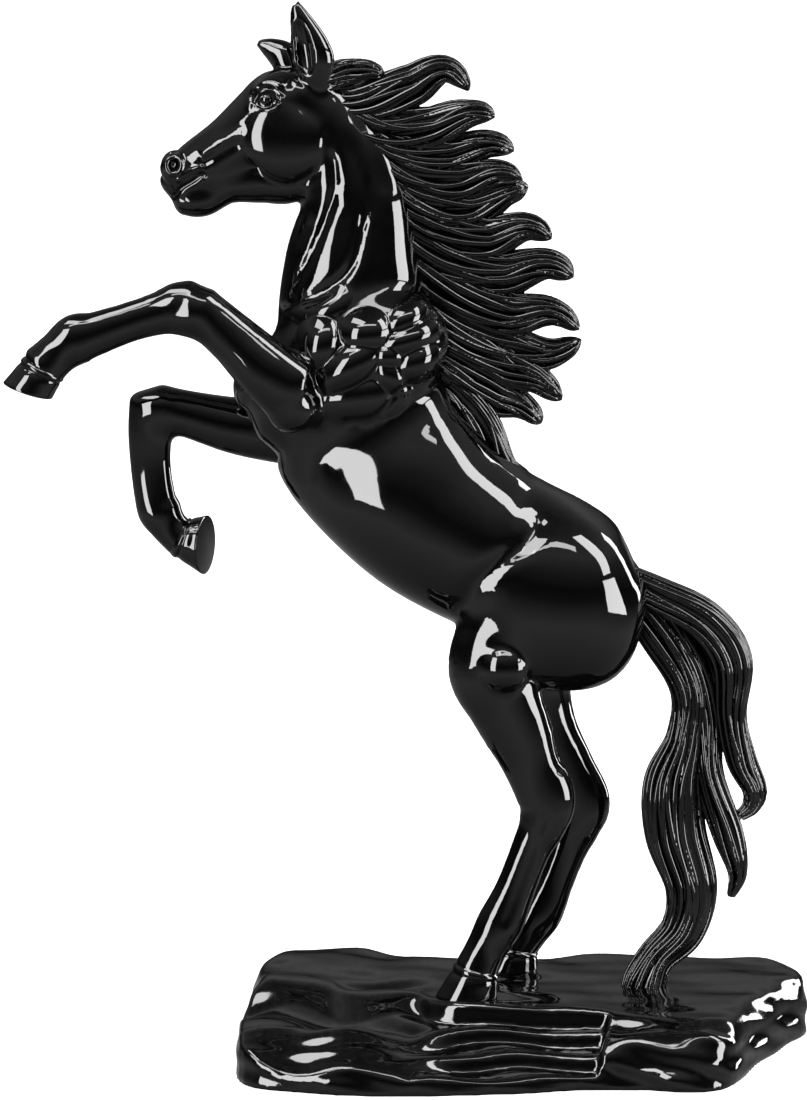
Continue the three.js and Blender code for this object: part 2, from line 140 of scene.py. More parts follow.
# A form that stands proud is [x, z, y, half length, half height, half width, tilt]
HAUNCH = [137, 405, -34, 92, 86, 50, -45]
BUTTOCK = [170, 370, -28, 52, 50, 36, -60]
NEAR_STIFLE = [86, 348, -58, 26, 34, 20, 15]
FAR_STIFLE = [126, 341, 58, 26, 34, 20, 15]
SHOULDER = [-48, 655, -32, 86, 62, 33, 20]
NEAR_ELBOW = [-118, 608, -58, 24, 26, 20, 0]
NEAR_KNEECAP = [90.5, 348, -67, 25, 25, 18, 0]
FAR_KNEECAP = [131, 341, 66, 25, 25, 18, 0]
# The shoulder's lobes are pads raised from the skin: [x, z, half length, half height, tilt, rise]
SHOULDER_LOBES = [
    [-46, 685, 25, 21, 8, 9], [-2, 700, 25, 15, 38, 7], [1, 677, 31, 15, 20, 8],
    [-22, 659, 15, 13, 0, 6], [8, 650, 25, 20, 40, 9], [-62, 648, 38, 20, 40, 10],
    [-18, 634, 24, 15, -60, 7], [-93, 675, 20, 30, -10, 9], [-88, 706, 34, 15, 25, 5],
    [-46, 612, 46, 22, 8, 7],
]
CHEEK = [-124, 862, -23, 37, 36, 12, 0]
BROW = [-139, 915, -16, 16, 6, 9, 8]
EYE_SOCKET = [-141, 904.5, -26, 13, 9.5, 6, 12]
EYEBALL = [-141, 904.5, -18, 7.5, 7.5, 7.5, 0]
NOSTRIL_FLARE = [-230, 834, -9, 14, 16, 9, 60]
NOSTRIL = [-232, 840, -17, 5, 6.5, 8, -20]
CHIN = [-208, 803, 0, 21, 15, 15, 10]
EAR_HOLLOW = [-106, 955, -31, 10, 31, 15, 10]

DOME = 0.6  # how far a limb's round end stands out, as a share of its half depth
PAD_ROUNDING = 0.85  # below 1, a pad's edge is steeper than a plain dome's
REACH = 12  # how far past its own size and blend a form is still measured
FAR_AWAY = 400.0

sculpture = []


def unit(rows):
    """Each row of numbers as a direction, one long."""
    return rows / np.maximum(np.linalg.norm(rows, axis=1), 1e-9)[:, None]


def smooth_rows(rows, steps):
    """Rows of numbers, with steps - 1 smooth rows between each two."""
    rows = np.array(rows, float)
    padded = np.vstack([rows[:1], rows, rows[-1:]])
    result = []
    for i in range(len(rows) - 1):
        a, b, c, d = padded[i : i + 4]
        for t in np.arange(steps) / steps:
            curve = (c - a) * t + (2 * a - 5 * b + 4 * c - d) * t**2
            result.append(0.5 * (2 * b + curve + (3 * b - a - 3 * c + d) * t**3))
    return np.array(result + [rows[-1]])


def nearest(line, x, z):
    """Where each point's nearest point on a line of the side view is, and the squared gap."""
    best = np.full(x.shape, np.inf)
    at = np.zeros(x.shape)
    for i, (dx, dz) in enumerate(np.diff(line, axis=0)):
        ox, oz = x - line[i, 0], z - line[i, 1]
        t = np.clip((ox * dx + oz * dz) / (dx * dx + dz * dz), 0, 1)
        gap = (ox - t * dx) ** 2 + (oz - t * dz) ** 2
        closer = gap < best
        best[closer] = gap[closer]
        at[closer] = i + t[closer]
    return at, best


def rounded(*parts):
    """Distance to an ellipsoid: each part is an offset and the half size along its axis."""
    near = np.sqrt(sum((offset / half) ** 2 for offset, half in parts))
    slope = np.sqrt(sum((offset / half**2) ** 2 for offset, half in parts))
    return near * (near - 1) / np.maximum(slope, 1e-9)


def add_shape(distance, low, high, blend, cut=False):
    reach = blend + REACH
    low, high = np.array(low) - reach, np.array(high) + reach
    sculpture.append(("cut" if cut else "join", distance, low, high, blend))


def add_limb(stations, blend):
    """A limb round a spine of stations, which melts into what it meets over the length of blend."""
    rows = smooth_rows(stations, 10)
    along = unit(np.gradient(rows[:, :2], axis=0))

    def distance(x, y, z):
        at, gap = nearest(rows[:, :2], x, z)
        i = np.minimum(at.astype(int), len(rows) - 2)
        share = (at - i)[:, None]
        here = rows[i] * (1 - share) + rows[i + 1] * share
        forward = along[i] * (1 - share) + along[i + 1] * share
        ox, oz = x - here[:, 0], z - here[:, 1]
        past = ((at == 0) | (at == len(rows) - 1)) * (ox * forward[:, 0] + oz * forward[:, 1])
        across = np.sqrt(np.maximum(gap - past**2, 0))
        depth, width = here[:, 3], here[:, 4]
        return rounded((across, depth), (past, depth * DOME), (y - here[:, 2], width))

    half = rows[:, 3:].max()
    low = [rows[:, 0].min() - half, rows[:, 2].min() - half, rows[:, 1].min() - half]
    high = [rows[:, 0].max() + half, rows[:, 2].max() + half, rows[:, 1].max() + half]
    add_shape(distance, low, high, blend)


def add_form(row, blend, cut=False):
    """An ellipsoid, added to the casting or cut out of it."""
    x0, z0, y0, length, height, width, tilt = row
    cosine, sine = math.cos(math.radians(tilt)), math.sin(math.radians(tilt))

    def distance(x, y, z):
        along = (x - x0) * cosine + (z - z0) * sine
        up = (z - z0) * cosine - (x - x0) * sine
        return rounded((along, length), (up, height), (y - y0, width))

    half = max(length, height)
    low = [x0 - half, y0 - width, z0 - half]
    add_shape(distance, low, [x0 + half, y0 + width, z0 + half], blend, cut)


def far_side(row):
    return [-value if c == 2 else value for c, value in enumerate(row)]


def add_both(row, blend, cut=False):
    add_form(row, blend, cut)
    add_form(far_side(row), blend, cut)


def pad_lift(x, z, x0, z0, length, height, tilt, rise):
    """How far one pad lifts the skin over points of the side view."""
    cosine, sine = math.cos(math.radians(tilt)), math.sin(math.radians(tilt))
    along = (x - x0) * cosine + (z - z0) * sine
    up = (z - z0) * cosine - (x - x0) * sine
    inside = np.maximum(1 - (along / length) ** 2 - (up / height) ** 2, 0)
    return rise * inside**PAD_ROUNDING


def raise_pads(pads, low, high, clear):
    """Lifts both sides' skin, as it stands so far, by the highest pad over each point."""
    def lift(x, y, z):
        return np.max([pad_lift(x, z, *pad) for pad in pads], axis=0) * (np.abs(y) > clear)

    sculpture.append(("raise", lift, np.array(low), np.array(high), 0))


strokes = []


def stroke(points, half_width, depth, side=0, fade=True, clear=6):
    """A groove drawn on the side view, or a ridge where depth is negative. Side is -1 for the near
    side, 1 for the far side and 0 for both; what lies within clear of the middle is left alone."""
    line = smooth_rows(points, 5)
    low, high = line.min(axis=0) - 3 * half_width, line.max(axis=0) + 3 * half_width
    strokes.append((line, low, high, half_width, depth, side, fade, clear))


def figure_distance(points):
    """Distance from the casting's skin, negative inside, for points in the figure's units."""
    d = np.full(len(points), FAR_AWAY)
    for kind, distance, low, high, blend in sculpture:
        near = np.flatnonzero(((points > low) & (points < high)).all(axis=1))
        if not len(near):
            continue
        x, y, z = points[near].T
        new, old = distance(x, y, z), d[near]
        if kind == "raise":
            d[near] = old - new
        elif kind == "cut":
            share = np.clip(0.5 - 0.5 * (old + new) / blend, 0, 1)
            d[near] = old * (1 - share) - new * share + blend * share * (1 - share)
        else:
            share = np.clip(0.5 + 0.5 * (new - old) / blend, 0, 1)
            d[near] = new * (1 - share) + old * share - blend * share * (1 - share)
    for line, low, high, half_width, depth, side, fade, clear in strokes:
        flat = points[:, [0, 2]]
        close = ((flat > low) & (flat < high)).all(axis=1)
        close &= (np.abs(points[:, 1]) > clear) & (points[:, 1] * side >= 0)
        near = np.flatnonzero(close)
        if not len(near):
            continue
        at, gap = nearest(line, points[near, 0], points[near, 2])
        strength = np.exp(-gap / half_width**2)
        if fade:
            strength *= np.clip(3 * np.sin(np.pi * at / (len(line) - 1)), 0, 1)
        d[near] += depth * strength
    return d


add_limb(TRUNK, 1)
add_limb(NECK, 26)
add_both(HAUNCH, 20)
add_both(BUTTOCK, 14)
for leg in (NEAR_HIND, FAR_HIND):
    add_limb(leg, 9)
for stifle, kneecap in ((NEAR_STIFLE, NEAR_KNEECAP), (FAR_STIFLE, FAR_KNEECAP)):
    add_form(stifle, 5)
    add_form(kneecap, 3)
add_both(SHOULDER, 12)
raise_pads(SHOULDER_LOBES, [-140, -95, 580], [40, 95, 730], 25)
add_limb(FAR_FOREARM, 8)
add_limb(FAR_FORE_CANNON, 12)
add_limb(NEAR_FOREARM, 5)
add_limb(NEAR_FORE_CANNON, 16)
add_form(NEAR_ELBOW, 5)
add_limb(SKULL, 14)
add_limb(JAW, 8)
add_both(CHEEK, 8)
add_both(BROW, 4)
add_both(NOSTRIL_FLARE, 5)
add_form(CHIN, 6)
add_limb(NEAR_EAR, 4)
add_limb(FAR_EAR, 4)
add_form(EAR_HOLLOW, 2, cut=True)
add_both(NOSTRIL, 1.5, cut=True)
add_both(EYE_SOCKET, 3, cut=True)
add_both(EYEBALL, 0.8)

# Grooves between the neck's muscles, the crease in front of the thigh, and the shoulder's edges
stroke([[-65, 878], [-46, 819], [-49, 780], [-65, 736], [-109, 706]], 5, 4)
stroke([[-79, 858], [-75, 819], [-91, 770], [-109, 731], [-119, 706]], 4, 3)
stroke([[-70, 907], [-48, 872], [-33, 838], [-24, 812]], 5, 2)
stroke([[-72, 723], [-90, 713], [-109, 706], [-126, 695], [-136, 683]], 4, 3)
stroke([[27, 650], [17, 635], [-12, 626], [-26, 608], [-41, 596], [-70, 594]], 4, 3, clear=30)
stroke([[130, 498], [116, 478], [86, 457], [57, 427], [46, 397]], 7, 5, clear=30)
stroke([[111, 346], [131, 326], [175, 331]], 4, 3, clear=30)
stroke([[128, 330], [134, 300], [142, 265], [149, 235]], 4, 2.5, clear=30)
stroke([[134, 200], [120, 155], [105, 112], [91, 76]], 3.5, 2, side=-1, clear=30)
# The face: mouth, lips, lids, the edge of the cheek and the cheekbone
stroke([[-237, 803], [-231, 809], [-224, 817], [-213, 824], [-205, 830], [-200, 828]], 2, 2.6, clear=2)
stroke([[-230, 823], [-221, 831], [-211, 836], [-201, 838]], 3, -1.5)
stroke([[-84, 880], [-86, 855], [-97, 832], [-120, 821], [-143, 829], [-157, 848]], 3.5, 1.5)
stroke([[-206, 850], [-187, 863], [-162, 878]], 4, -2.2)
stroke([[-206, 840], [-187, 851], [-165, 864]], 4, 1.6)
stroke([[-159, 893], [-156, 909], [-146, 921], [-133, 924], [-122, 918]], 3.4, -1.4)
# The eye's upper and lower lids, the fold over them, and the nostril's rim
stroke([[-153, 900], [-149, 909], [-141, 914.5], [-133, 911], [-128, 904]], 2.2, -2.2)
stroke([[-153, 900], [-147, 897], [-139, 896], [-132, 898], [-128, 904]], 1.8, -1.3)
stroke([[-157, 903], [-152, 914], [-142, 920], [-131, 917], [-123, 908]], 2.4, 1.2)
rim = [[-232 + 8 * math.cos(a), 840 + 9 * math.sin(a)] for a in np.linspace(0, 2 * math.pi, 13)]
stroke(rim, 2.4, -2, fade=False)

SKIN_STEP = 6.4  # size of the skin's faces on the large forms
MARGIN = 4 * SKIN_STEP
FIGURE_LOW = np.array([TOE, -92, -20]) - MARGIN
FIGURE_HIGH = np.array([260, 92, 1004]) + MARGIN
SETTLE_PASSES = 3
LONGEST_MOVE = 2.5  # in one pass
EVENING_PASSES = 2
ON_SKIN = 0.3  # how near the skin a point still counts as lying on it


def wrap(low, high, face, distance):
    """Points and four-sided faces of the skin where a distance is nought, between two corners."""
    counts = np.ceil((high - low) / face).astype(int)
    field = distance(low + np.indices(counts).reshape(3, -1).T * face)
    grid = openvdb.FloatGrid(FAR_AWAY)
    grid.copyFromArray(field.astype(np.float32).reshape(counts))
    points, quads = grid.convertToQuads(0.0)
    return low + np.array(points) * face, np.array(quads)


def slope_at(points, distance):
    """How fast a distance grows along each axis."""
    reach = 0.6
    slope = np.empty_like(points)
    for axis in range(3):
        step = np.zeros(3)
        step[axis] = reach
        slope[:, axis] = distance(points + step) - distance(points - step)
    return slope / (2 * reach)


def settle(points, distance):
    """Moves points of a skin onto the exact surface."""
    for _ in range(SETTLE_PASSES):
        slope = slope_at(points, distance)
        size = np.maximum((slope**2).sum(axis=1), 0.05)
        move = (distance(points) / size)[:, None] * slope
        length = np.linalg.norm(move, axis=1)[:, None]
        points = points - move * np.minimum(1, LONGEST_MOVE / np.maximum(length, 1e-9))
    return points


def shade_by_slope(piece, points, distance):
    """Shades a skin by its own slope, evened out a little. Faces off the skin keep their shading."""
    mesh = piece.data
    slope = unit(slope_at(points, distance))
    ends = np.empty(2 * len(mesh.edges), np.int32)
    mesh.edges.foreach_get("vertices", ends)
    ends = ends.reshape(-1, 2)
    for _ in range(EVENING_PASSES):
        around = np.zeros_like(slope)
        np.add.at(around, ends[:, 0], slope[ends[:, 1]])
        np.add.at(around, ends[:, 1], slope[ends[:, 0]])
        slope = unit(slope + 0.5 * around)
    corners = np.empty(len(mesh.loops), np.int32)
    mesh.loops.foreach_get("vertex_index", corners)
    starts = np.empty(len(mesh.polygons), np.int32)
    mesh.polygons.foreach_get("loop_start", starts)
    off = np.logical_or.reduceat((np.abs(distance(points)) > ON_SKIN)[corners], starts)
    off = np.repeat(off, np.diff(np.append(starts, len(corners))))
    mesh.normals_split_custom_set(np.where(off[:, None], 0, slope[corners]).tolist())


def in_metres(points):
    """Where points in the figure's units lie in the scene."""
    return WITHERS + np.asarray(points) * UNIT


def new_piece(name, points, faces):
    mesh = bpy.data.meshes.new(name)
    mesh.from_pydata([tuple(p) for p in points], [], [tuple(int(i) for i in f) for f in faces])
    mesh.update()
    piece = bpy.data.objects.new(name, mesh)
    bpy.context.scene.collection.objects.link(piece)
    return piece


def only(piece):
    bpy.ops.object.select_all(action="DESELECT")
    piece.select_set(True)
    bpy.context.view_layer.objects.active = piece


def coordinates(mesh):
    co = np.empty(len(mesh.vertices) * 3)
    mesh.vertices.foreach_get("co", co)
    return co.reshape(-1, 3)


def refine(piece, boxes):
    """Splits the faces inside boxes, [x low, x high, z low, z high, y low, y high]."""
    only(piece)
    mesh = piece.data
    co = coordinates(mesh)
    inside = np.zeros(len(co), bool)
    for x_low, x_high, z_low, z_high, y_low, y_high in boxes:
        low, high = np.array([x_low, y_low, z_low]), np.array([x_high, y_high, z_high])
        inside |= ((co > low) & (co < high)).all(axis=1)
    bpy.ops.object.mode_set(mode="EDIT")
    bpy.ops.mesh.select_mode(type="VERT")
    bpy.ops.mesh.select_all(action="DESELECT")
    bpy.ops.object.mode_set(mode="OBJECT")
    mesh.vertices.foreach_set("select", inside)
    bpy.ops.object.mode_set(mode="EDIT")
    bpy.ops.mesh.subdivide(number_cuts=1, quadcorner="INNERVERT")
    bpy.ops.object.mode_set(mode="OBJECT")


FINE = [
    [-260, -70, 780, 1010, -60, 60], [-150, 50, 590, 730, -90, 90], [-400, -190, 610, 740, -90, 0],
    [-290, -180, 400, 620, 0, 90], [10, 200, -20, 240, -90, 90], [40, 125, 320, 400, -90, 90],
    [-125, 0, 700, 800, -60, 60],
]
FINER = [
    [-262, -192, 785, 862, -60, 60], [-168, -112, 880, 932, -60, 60], [-128, -80, 915, 1004, -60, 0],
    [-132, 32, 600, 718, -90, -25],
]
FINEST = [[-163, -119, 888, 925, -40, 40], [-246, -194, 798, 854, -40, 40]]

points, quads = wrap(FIGURE_LOW, FIGURE_HIGH, SKIN_STEP, figure_distance)
horse = new_piece("horse", points, quads)
for boxes in (FINE, FINER, FINEST):
    refine(horse, boxes)
settled = settle(coordinates(horse.data), figure_distance)
horse.data.vertices.foreach_set("co", in_metres(settled).ravel())
horse.data.update()


# The hooves: walls flaring from a raised band at the coronet to a flat sole. Each starts as a drum,
# cut across where its profile changes, and is then drawn out between its four corners.
HOOVES = [
    {"side": [[-378, 657], [-340, 636], [-399, 632], [-351, 616]], "y": -56, "coronet": 17, "sole": 21},
    {"side": [[-241, 434], [-224, 470], [-207, 413], [-206, 474]], "y": 50, "coronet": 17, "sole": 21,
     "turn": 0.45},
    {"side": [[44, 35], [87, 23], [23, 0], [86, 0]], "y": -46, "coronet": 18, "sole": 22},
    {"side": [[88, 26], [128, 17], [73, 0], [129, 0]], "y": 45, "coronet": 18, "sole": 22},
]
HOOF_SIDES = 56
SHARP_ANGLE = 70  # degrees past which an edge between two faces stays sharp
# Share of the way down, and how far the profile stands out there, in units
HOOF_PROFILE = [
    [-0.16, -3], [-0.1, -1.7], [-0.05, -0.3], [0, 0.6], [0.05, 1], [0.1, 0.9], [0.14, 0.3], [0.17, -0.6],
    [0.2, -0.8], [0.24, -0.5], [0.32, -0.1], [0.45, 0], [0.6, -0.15], [0.75, -0.1], [0.88, 0], [0.96, 0],
    [0.99, -0.5], [1, -1.5],
]


def hoof(number, side, y, coronet, sole, turn=0):
    """A hoof's side has four corners: the coronet's front and heel, the toe and the sole's heel.
    Turn swings the sole round, by a share of its width."""
    bpy.ops.mesh.primitive_cylinder_add(vertices=HOOF_SIDES, radius=1, depth=1, location=(0, 0, 0))
    piece = bpy.context.object
    piece.name = f"hoof {number}"
    bpy.ops.object.mode_set(mode="EDIT")
    top, bottom = HOOF_PROFILE[0][0], HOOF_PROFILE[-1][0]
    for share, _ in HOOF_PROFILE[1:-1]:
        level = 0.5 - (share - top) / (bottom - top)
        bpy.ops.mesh.select_all(action="SELECT")
        bpy.ops.mesh.bisect(plane_co=(0, 0, level), plane_no=(0, 0, 1))
    bpy.ops.object.mode_set(mode="OBJECT")
    co = coordinates(piece.data)
    front, heel, toe, sole_heel = [np.array(p, float) for p in side]
    t = top + (0.5 - co[:, 2]) * (bottom - top)
    proud = np.interp(t, *np.array(HOOF_PROFILE).T)
    reach = 0.5 + 0.5 * co[:, 0]
    ahead = front + np.outer(t, toe - front)
    behind = heel + np.outer(t, sole_heel - heel)
    run = unit(ahead - behind)
    flat = behind + (ahead - behind) * reach[:, None] + run * (proud * co[:, 0])[:, None]
    width = coronet + (sole - coronet) * np.clip(t, 0, 1) + proud
    aside = width * co[:, 1]
    shaped = np.column_stack([flat[:, 0] + turn * np.clip(t, 0, 1) * aside, y + aside, flat[:, 1]])
    piece.data.vertices.foreach_set("co", in_metres(shaped).ravel())
    piece.data.update()
    only(piece)
    bpy.ops.object.mode_set(mode="EDIT")
    bpy.ops.mesh.select_all(action="SELECT")
    bpy.ops.mesh.normals_make_consistent(inside=False)
    bpy.ops.object.mode_set(mode="OBJECT")
    return piece


def fuse(piece, others):
    """Joins closed pieces into one casting."""
    for other in others:
        union = piece.modifiers.new("union", "BOOLEAN")
        union.operation = "UNION"
        union.solver = "MANIFOLD"
        union.object = other
        only(piece)
        bpy.ops.object.modifier_apply(modifier=union.name)
        bpy.data.objects.remove(other)


fuse(horse, [hoof(number, **shape) for number, shape in enumerate(HOOVES)])
bpy.ops.object.shade_smooth_by_angle(angle=math.radians(SHARP_ANGLE))
shade_by_slope(horse, (coordinates(horse.data) - WITHERS) / UNIT, figure_distance)


def casting_finish():
    """How a polished casting's gloss, dust and fine unevenness change over its surface."""
    group = bpy.data.node_groups.new("casting_finish", "ShaderNodeTree")
    for name, kind in (("Position", "Vector"), ("Upward", "Float"), ("Patch Scale", "Float"),
                       ("Polished", "Float"), ("Dull", "Float"), ("Dust", "Float"),
                       ("Black", "Color"), ("Dust Colour", "Color")):
        group.interface.new_socket(name, in_out="INPUT", socket_type=f"NodeSocket{kind}")
    for name, kind in (("Colour", "Color"), ("Roughness", "Float"), ("Unevenness", "Float")):
        group.interface.new_socket(name, in_out="OUTPUT", socket_type=f"NodeSocket{kind}")
    add, join = group.nodes.new, group.links.new
    given, result = add("NodeGroupInput"), add("NodeGroupOutput")

    def noise(times, detail):
        scale = add("ShaderNodeMath")
        scale.operation = "MULTIPLY"
        scale.inputs[1].default_value = times
        join(given.outputs["Patch Scale"], scale.inputs[0])
        texture = add("ShaderNodeTexNoise")
        texture.inputs["Detail"].default_value = detail
        join(given.outputs["Position"], texture.inputs["Vector"])
        join(scale.outputs["Value"], texture.inputs["Scale"])
        return texture.outputs["Fac"]

    def between(value, low, high):
        spread = add("ShaderNodeMapRange")
        spread.inputs["From Min"].default_value = low
        spread.inputs["From Max"].default_value = high
        join(value, spread.inputs["Value"])
        return spread.outputs["Result"]

    def maths(operation, first, second):
        node = add("ShaderNodeMath")
        node.operation = operation
        join(first, node.inputs[0])
        join(second, node.inputs[1])
        return node.outputs["Value"]

    handled = add("ShaderNodeMapRange")
    handled.inputs["From Min"].default_value = 0.35
    handled.inputs["From Max"].default_value = 0.7
    join(noise(1, 5), handled.inputs["Value"])
    join(given.outputs["Polished"], handled.inputs["To Min"])
    join(given.outputs["Dull"], handled.inputs["To Max"])
    level, specks = between(given.outputs["Upward"], 0.5, 1), between(noise(14, 8), 0.45, 0.75)
    dust = maths("MULTIPLY", maths("MULTIPLY", level, specks), given.outputs["Dust"])
    tint = add("ShaderNodeMix")
    tint.data_type = "RGBA"
    join(dust, tint.inputs["Factor"])
    join(given.outputs["Black"], tint.inputs["A"])
    join(given.outputs["Dust Colour"], tint.inputs["B"])
    join(tint.outputs["Result"], result.inputs["Colour"])
    join(maths("ADD", handled.outputs["Result"], dust), result.inputs["Roughness"])
    join(noise(3, 2), result.inputs["Unevenness"])
    return group


CASTING_FINISH = casting_finish()
BLACK = (0.0004, 0.0004, 0.0005, 1)
DUST_COLOUR = (0.05, 0.048, 0.044, 1)


def black_gloss(name, patch_scale, polished, dull, dust, unevenness):
    """Polished black resin; unevenness is how deep its slow ripples are, in metres."""
    material = bpy.data.materials.new(name)
    material.use_nodes = True
    nodes, links = material.node_tree.nodes, material.node_tree.links
    shader = nodes["Principled BSDF"]
    finish = nodes.new("ShaderNodeGroup")
    finish.node_tree = CASTING_FINISH
    values = {"Patch Scale": patch_scale, "Polished": polished, "Dull": dull, "Dust": dust,
              "Black": BLACK, "Dust Colour": DUST_COLOUR}
    for socket, value in values.items():
        finish.inputs[socket].default_value = value
    place = nodes.new("ShaderNodeTexCoord")
    links.new(place.outputs["Object"], finish.inputs["Position"])
    facing = nodes.new("ShaderNodeNewGeometry")
    axes = nodes.new("ShaderNodeSeparateXYZ")
    links.new(facing.outputs["Normal"], axes.inputs["Vector"])
    links.new(axes.outputs["Z"], finish.inputs["Upward"])
    links.new(finish.outputs["Colour"], shader.inputs["Base Color"])
    links.new(finish.outputs["Roughness"], shader.inputs["Roughness"])
    ripple = nodes.new("ShaderNodeBump")
    ripple.inputs["Strength"].default_value = 0.3
    ripple.inputs["Distance"].default_value = unevenness
    links.new(finish.outputs["Unevenness"], ripple.inputs["Height"])
    links.new(ripple.outputs["Normal"], shader.inputs["Normal"])
    return material


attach(horse, "root")
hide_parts("rearing_horse")
horse.data.materials.clear()
horse.data.materials.append(black_gloss("black_gloss_resin", 22, 0.03, 0.055, 0.03, 0.0002))


# The mane: thirteen flame-like locks in one row along the crest, each a bundle of round strands that
# sway, rise and dip over each other and end in a blunt, drooping tip. It is cast with the body and
# sunk into the neck. Made another way than by edit operators: as a distance field of its strands.

# A lock is [root x, root z, tip x, tip z, half depth, sag, lift, hook]
MANE_LOCKS = [
    [-95, 914, -29, 927, 12, -0.2, 0.05, 2], [-84, 904, 54, 911, 18, 0.2, 0.26, 10],
    [-74, 894, 79, 886, 19, 0.3, 0.0, 5], [-60, 880, 98, 851, 18, 0.36, 0.02, 7],
    [-45, 858, 106, 824, 18, 0.36, 0.02, 7], [-33, 832, 112, 815, 19, 0.4, -0.18, 5],
    [-24, 806, 135, 766, 20, 0.38, 0.04, 10], [-16, 778, 157, 726, 21.5, 0.36, 0.05, 10],
    [-10, 748, 163, 676, 20, 0.34, 0.08, 11], [-3, 715, 165, 662, 19, 0.34, -0.12, -6],
    [4, 682, 146, 605, 19, 0.22, 0.2, 6], [14, 652, 127, 580, 18.5, 0.2, 0.18, 5],
    [26, 622, 110, 522, 17, 0.14, 0.1, 3],
]
MANE_ROOT_WIDTH = 27
MANE_TIP_WIDTH = 9
MANE_SPREAD = 5
MANE_ROWS = 34
MANE_STRANDS = 24
HAIR_STEP = 1.7  # size of the hair's faces
THINNEST = 1.9  # least half thickness of a strand
CORE_PLACES = [-1, -0.5, 0, 0.5, 1]


def mane_path(root_x, root_z, tip_x, tip_z, depth, sag, lift, hook, turn):
    """A lock's rows of [x, z, y, half depth, half width], fullest in the middle and blunt at its tip."""
    root, tip = np.array([root_x, root_z]), np.array([tip_x, tip_z])
    length = np.linalg.norm(tip - root)
    leave = root + length * np.array([0.38, -sag])
    arrive = tip + length * np.array([-0.33, lift])
    t = 1 - np.linspace(1, 0, MANE_ROWS)[:, None] ** 1.3
    path = (1 - t)**3 * root + 3 * t * (1 - t)**2 * leave + 3 * t * t * (1 - t) * arrive + t**3 * tip
    t = t[:, 0]
    path[:, 1] += hook * np.sin(math.pi * np.clip((t - 0.6) / 0.4, 0, 1) ** 1.4)
    taper = np.sqrt(np.maximum(1 - (np.maximum(t - 0.92, 0) / 0.08)**2, 0.01))
    half = depth * (0.95 + 0.36 * np.sin(math.pi * t)) * (1 - 0.52 * t**2.6) * taper
    width = (MANE_ROOT_WIDTH + (MANE_TIP_WIDTH - MANE_ROOT_WIDTH) * t**0.8) * taper
    width *= 0.5 + 0.5 * np.minimum(t / 0.25, 1)
    return np.column_stack([path, turn * MANE_SPREAD * t * t, half, width])


def lock_strands(rows, count, seed):
    """A lock's round strands and its core, as rows of [x, y, z, half thickness]."""
    chance = random.Random(seed)
    t = np.linspace(0, 1, len(rows))
    along = unit(np.gradient(rows[:, :2], axis=0))
    depth, width = rows[:, 3], rows[:, 4]
    spacing = 2 * math.pi * np.sqrt((depth**2 + width**2) / 2) / count
    thick = np.maximum(0.56 * spacing, THINNEST)

    def placed(across, out, half):
        x, z, y = rows[:, 0], rows[:, 1], rows[:, 2]
        return np.column_stack([x + across * along[:, 1], y + out, z - across * along[:, 0], half])

    strands = []
    for number in range(count):
        sway, pace, start = chance.uniform(0.1, 0.35), chance.uniform(0.4, 1.2), chance.uniform(0, 6)
        rise, beat, first = chance.uniform(0.5, 1.9), chance.uniform(0.6, 1.8), chance.uniform(0, 6)
        angle = 2 * math.pi * (number + chance.uniform(-0.3, 0.3)) / count
        angle = angle + sway * np.sin(2 * math.pi * pace * t + start)
        lift = rise * np.sin(2 * math.pi * beat * t + first)
        half = thick * chance.uniform(0.8, 1.15)
        across = np.cos(angle) * np.maximum(depth - thick + lift, 0)
        out = np.sin(angle) * np.maximum(width - thick + lift, 0)
        strands.append(placed(across, out, half))
    middle = 0.8 * np.minimum(depth, width)
    for place in CORE_PLACES:
        half = np.maximum(middle - 1.5 * thick, 1)
        strands.append(placed(place * (depth - middle), place * (width - middle), half))
    return strands


ROUND_END = 0.4  # how far a strand's skin leans along the strand before it counts as its round end


def strand_skin(points, segments):
    """The way out of a strand's segment at each point, square to the strand, and the gap there."""
    start, end = segments[:, 0], segments[:, 1]
    run = end[:, :3] - start[:, :3]
    t = np.clip(((points - start[:, :3]) * run).sum(axis=1) / (run**2).sum(axis=1), 0, 1)
    out = points - start[:, :3] - t[:, None] * run
    length = np.maximum(np.linalg.norm(out, axis=1), 1e-9)
    out /= length[:, None]
    forward = start[:, 4:] + (end[:, 4:] - start[:, 4:]) * t[:, None]
    lean = (out * forward).sum(axis=1)
    square = unit(out - (lean * (np.abs(lean) < ROUND_END))[:, None] * forward)
    return square, length - start[:, 3] - (end[:, 3] - start[:, 3]) * t


